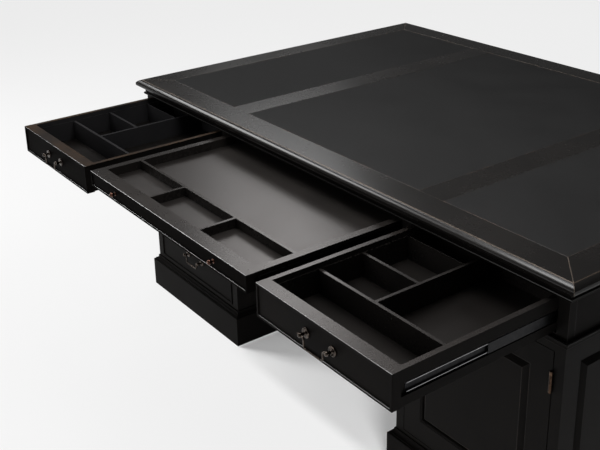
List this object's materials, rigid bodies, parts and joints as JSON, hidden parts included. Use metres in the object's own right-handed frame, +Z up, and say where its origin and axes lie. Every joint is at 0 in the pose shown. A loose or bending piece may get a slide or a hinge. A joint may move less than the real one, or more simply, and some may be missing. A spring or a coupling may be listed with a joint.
{
  "type": "partners desk",
  "caption": "Black painted kneehole partners desk with a moulded leather-inset top, pulled-out frieze drawers with trays, and drawer and cupboard pedestals.",
  "frame": {"origin": "on the floor, under the middle of the bounding box with the near frieze drawers pulled right out; the carcass's own middle lies 219.8 mm towards +Y", "axes": "+X along the desk to the near sitter's right, +Y from the near side to the far side, +Z up"},
  "size_m": [1.83, 1.6596, 0.77],
  "materials": {
    "painted_wood": "black satin paint, rubbed brown on the edges",
    "leather": "matte charcoal leather",
    "bronze": "dark antique bronze with worn highlights",
    "steel": "rolled steel, dark zinc"
  },
  "bodies": {
    "carcass": {"cabinet_hardware": "steel", "carcass_mouldings": "painted_wood", "frieze_frame": "painted_wood", "frieze_partitions": "painted_wood", "pedestal_left": "painted_wood", "pedestal_right": "painted_wood", "plinths": "painted_wood", "top_core": "painted_wood", "top_cross_rails": "painted_wood", "top_rail_far": "painted_wood", "top_rail_left": "painted_wood", "top_rail_near": "painted_wood", "top_rail_right": "painted_wood", "writing_panels": "leather"},
    "near_frieze_drawer_left": {"near_frieze_drawer_left": "painted_wood", "near_frieze_drawer_left_fittings": "bronze"},
    "near_frieze_drawer_left_slide_middles": {"near_frieze_drawer_left_slide_middles": "steel"},
    "near_frieze_drawer_left_bail": {"near_frieze_drawer_left_bail": "bronze"},
    "near_frieze_drawer_centre": {"near_frieze_drawer_centre": "painted_wood", "near_frieze_drawer_centre_fittings": "bronze"},
    "near_frieze_drawer_centre_slide_middles": {"near_frieze_drawer_centre_slide_middles": "steel"},
    "near_frieze_drawer_right": {"near_frieze_drawer_right": "painted_wood", "near_frieze_drawer_right_fittings": "bronze"},
    "near_frieze_drawer_right_slide_middles": {"near_frieze_drawer_right_slide_middles": "steel"},
    "near_frieze_drawer_right_bail": {"near_frieze_drawer_right_bail": "bronze"},
    "near_pedestal_drawer_bottom": {"near_pedestal_drawer_bottom": "painted_wood", "near_pedestal_drawer_bottom_fittings": "bronze"},
    "near_pedestal_drawer_bottom_bail": {"near_pedestal_drawer_bottom_bail": "bronze"},
    "near_pedestal_drawer_middle": {"near_pedestal_drawer_middle": "painted_wood", "near_pedestal_drawer_middle_fittings": "bronze"},
    "near_pedestal_drawer_middle_bail": {"near_pedestal_drawer_middle_bail": "bronze"},
    "near_pedestal_drawer_top": {"near_pedestal_drawer_top": "painted_wood", "near_pedestal_drawer_top_fittings": "bronze"},
    "near_pedestal_drawer_top_bail": {"near_pedestal_drawer_top_bail": "bronze"},
    "near_door": {"near_door_frame": "painted_wood", "near_door_panel": "painted_wood", "near_door_fittings": "bronze"},
    "far_frieze_drawer_left": {"far_frieze_drawer_left": "painted_wood", "far_frieze_drawer_left_fittings": "bronze"},
    "far_frieze_drawer_left_slide_middles": {"far_frieze_drawer_left_slide_middles": "steel"},
    "far_frieze_drawer_left_bail": {"far_frieze_drawer_left_bail": "bronze"},
    "far_frieze_drawer_centre": {"far_frieze_drawer_centre": "painted_wood", "far_frieze_drawer_centre_fittings": "bronze"},
    "far_frieze_drawer_centre_slide_middles": {"far_frieze_drawer_centre_slide_middles": "steel"},
    "far_frieze_drawer_right": {"far_frieze_drawer_right": "painted_wood", "far_frieze_drawer_right_fittings": "bronze"},
    "far_frieze_drawer_right_slide_middles": {"far_frieze_drawer_right_slide_middles": "steel"},
    "far_frieze_drawer_right_bail": {"far_frieze_drawer_right_bail": "bronze"},
    "far_pedestal_drawer_bottom": {"far_pedestal_drawer_bottom": "painted_wood", "far_pedestal_drawer_bottom_fittings": "bronze"},
    "far_pedestal_drawer_bottom_bail": {"far_pedestal_drawer_bottom_bail": "bronze"},
    "far_pedestal_drawer_middle": {"far_pedestal_drawer_middle": "painted_wood", "far_pedestal_drawer_middle_fittings": "bronze"},
    "far_pedestal_drawer_middle_bail": {"far_pedestal_drawer_middle_bail": "bronze"},
    "far_pedestal_drawer_top": {"far_pedestal_drawer_top": "painted_wood", "far_pedestal_drawer_top_fittings": "bronze"},
    "far_pedestal_drawer_top_bail": {"far_pedestal_drawer_top_bail": "bronze"},
    "far_door": {"far_door_frame": "painted_wood", "far_door_panel": "painted_wood", "far_door_fittings": "bronze"}
  },
  "joints": [
    {"name": "near_frieze_drawer_left_pull", "type": "slide", "parent": "carcass", "child": "near_frieze_drawer_left", "axis": [0, -1, 0], "range_m": [-0.445, 0]},
    {"name": "near_frieze_drawer_left_middles_follow", "type": "slide", "parent": "carcass", "child": "near_frieze_drawer_left_slide_middles", "axis": [0, -1, 0], "range_m": [-0.2225, 0]},
    {"name": "near_frieze_drawer_left_bail_swing", "type": "hinge", "parent": "near_frieze_drawer_left", "child": "near_frieze_drawer_left_bail", "pos_m": [-0.6395, -0.8242, 0.676], "axis": [-1, 0, 0], "range_deg": [-15, 95]},
    {"name": "near_frieze_drawer_centre_pull", "type": "slide", "parent": "carcass", "child": "near_frieze_drawer_centre", "axis": [0, -1, 0], "range_m": [-0.445, 0]},
    {"name": "near_frieze_drawer_centre_middles_follow", "type": "slide", "parent": "carcass", "child": "near_frieze_drawer_centre_slide_middles", "axis": [0, -1, 0], "range_m": [-0.2225, 0]},
    {"name": "near_frieze_drawer_right_pull", "type": "slide", "parent": "carcass", "child": "near_frieze_drawer_right", "axis": [0, -1, 0], "range_m": [-0.445, 0]},
    {"name": "near_frieze_drawer_right_middles_follow", "type": "slide", "parent": "carcass", "child": "near_frieze_drawer_right_slide_middles", "axis": [0, -1, 0], "range_m": [-0.2225, 0]},
    {"name": "near_frieze_drawer_right_bail_swing", "type": "hinge", "parent": "near_frieze_drawer_right", "child": "near_frieze_drawer_right_bail", "pos_m": [0.6395, -0.8242, 0.676], "axis": [-1, 0, 0], "range_deg": [-15, 95]},
    {"name": "near_pedestal_drawer_bottom_pull", "type": "slide", "parent": "carcass", "child": "near_pedestal_drawer_bottom", "axis": [0, -1, 0], "range_m": [0, 0.33]},
    {"name": "near_pedestal_drawer_bottom_bail_swing", "type": "hinge", "parent": "near_pedestal_drawer_bottom", "child": "near_pedestal_drawer_bottom_bail", "pos_m": [-0.633, -0.3792, 0.203], "axis": [-1, 0, 0], "range_deg": [-15, 95]},
    {"name": "near_pedestal_drawer_middle_pull", "type": "slide", "parent": "carcass", "child": "near_pedestal_drawer_middle", "axis": [0, -1, 0], "range_m": [0, 0.33]},
    {"name": "near_pedestal_drawer_middle_bail_swing", "type": "hinge", "parent": "near_pedestal_drawer_middle", "child": "near_pedestal_drawer_middle_bail", "pos_m": [-0.633, -0.3792, 0.362], "axis": [-1, 0, 0], "range_deg": [-15, 95]},
    {"name": "near_pedestal_drawer_top_pull", "type": "slide", "parent": "carcass", "child": "near_pedestal_drawer_top", "axis": [0, -1, 0], "range_m": [0, 0.33]},
    {"name": "near_pedestal_drawer_top_bail_swing", "type": "hinge", "parent": "near_pedestal_drawer_top", "child": "near_pedestal_drawer_top_bail", "pos_m": [-0.633, -0.3792, 0.521], "axis": [-1, 0, 0], "range_deg": [-15, 95]},
    {"name": "near_door_hinge", "type": "hinge", "parent": "carcass", "child": "near_door", "pos_m": [0.8588, -0.3682, 0.3575], "axis": [0, 0, 1], "range_deg": [0, 110]},
    {"name": "far_frieze_drawer_left_pull", "type": "slide", "parent": "carcass", "child": "far_frieze_drawer_left", "axis": [0, 1, 0], "range_m": [0, 0.445]},
    {"name": "far_frieze_drawer_left_middles_follow", "type": "slide", "parent": "carcass", "child": "far_frieze_drawer_left_slide_middles", "axis": [0, 1, 0], "range_m": [0, 0.2225]},
    {"name": "far_frieze_drawer_left_bail_swing", "type": "hinge", "parent": "far_frieze_drawer_left", "child": "far_frieze_drawer_left_bail", "pos_m": [0.6395, 0.8188, 0.676], "axis": [1, 0, 0], "range_deg": [-15, 95]},
    {"name": "far_frieze_drawer_centre_pull", "type": "slide", "parent": "carcass", "child": "far_frieze_drawer_centre", "axis": [0, 1, 0], "range_m": [0, 0.445]},
    {"name": "far_frieze_drawer_centre_middles_follow", "type": "slide", "parent": "carcass", "child": "far_frieze_drawer_centre_slide_middles", "axis": [0, 1, 0], "range_m": [0, 0.2225]},
    {"name": "far_frieze_drawer_right_pull", "type": "slide", "parent": "carcass", "child": "far_frieze_drawer_right", "axis": [0, 1, 0], "range_m": [0, 0.445]},
    {"name": "far_frieze_drawer_right_middles_follow", "type": "slide", "parent": "carcass", "child": "far_frieze_drawer_right_slide_middles", "axis": [0, 1, 0], "range_m": [0, 0.2225]},
    {"name": "far_frieze_drawer_right_bail_swing", "type": "hinge", "parent": "far_frieze_drawer_right", "child": "far_frieze_drawer_right_bail", "pos_m": [-0.6395, 0.8188, 0.676], "axis": [1, 0, 0], "range_deg": [-15, 95]},
    {"name": "far_pedestal_drawer_bottom_pull", "type": "slide", "parent": "carcass", "child": "far_pedestal_drawer_bottom", "axis": [0, 1, 0], "range_m": [0, 0.33]},
    {"name": "far_pedestal_drawer_bottom_bail_swing", "type": "hinge", "parent": "far_pedestal_drawer_bottom", "child": "far_pedestal_drawer_bottom_bail", "pos_m": [0.633, 0.8188, 0.203], "axis": [1, 0, 0], "range_deg": [-15, 95]},
    {"name": "far_pedestal_drawer_middle_pull", "type": "slide", "parent": "carcass", "child": "far_pedestal_drawer_middle", "axis": [0, 1, 0], "range_m": [0, 0.33]},
    {"name": "far_pedestal_drawer_middle_bail_swing", "type": "hinge", "parent": "far_pedestal_drawer_middle", "child": "far_pedestal_drawer_middle_bail", "pos_m": [0.633, 0.8188, 0.362], "axis": [1, 0, 0], "range_deg": [-15, 95]},
    {"name": "far_pedestal_drawer_top_pull", "type": "slide", "parent": "carcass", "child": "far_pedestal_drawer_top", "axis": [0, 1, 0], "range_m": [0, 0.33]},
    {"name": "far_pedestal_drawer_top_bail_swing", "type": "hinge", "parent": "far_pedestal_drawer_top", "child": "far_pedestal_drawer_top_bail", "pos_m": [0.633, 0.8188, 0.521], "axis": [1, 0, 0], "range_deg": [-15, 95]},
    {"name": "far_door_hinge", "type": "hinge", "parent": "carcass", "child": "far_door", "pos_m": [-0.8588, 0.8078, 0.3575], "axis": [0, 0, 1], "range_deg": [0, 110]}
  ],
  "couplings": [
    {"joint": "near_frieze_drawer_left_middles_follow", "follows": "near_frieze_drawer_left_pull", "ratio": 0.5},
    {"joint": "near_frieze_drawer_centre_middles_follow", "follows": "near_frieze_drawer_centre_pull", "ratio": 0.5},
    {"joint": "near_frieze_drawer_right_middles_follow", "follows": "near_frieze_drawer_right_pull", "ratio": 0.5},
    {"joint": "far_frieze_drawer_left_middles_follow", "follows": "far_frieze_drawer_left_pull", "ratio": 0.5},
    {"joint": "far_frieze_drawer_centre_middles_follow", "follows": "far_frieze_drawer_centre_pull", "ratio": 0.5},
    {"joint": "far_frieze_drawer_right_middles_follow", "follows": "far_frieze_drawer_right_pull", "ratio": 0.5}
  ]
}
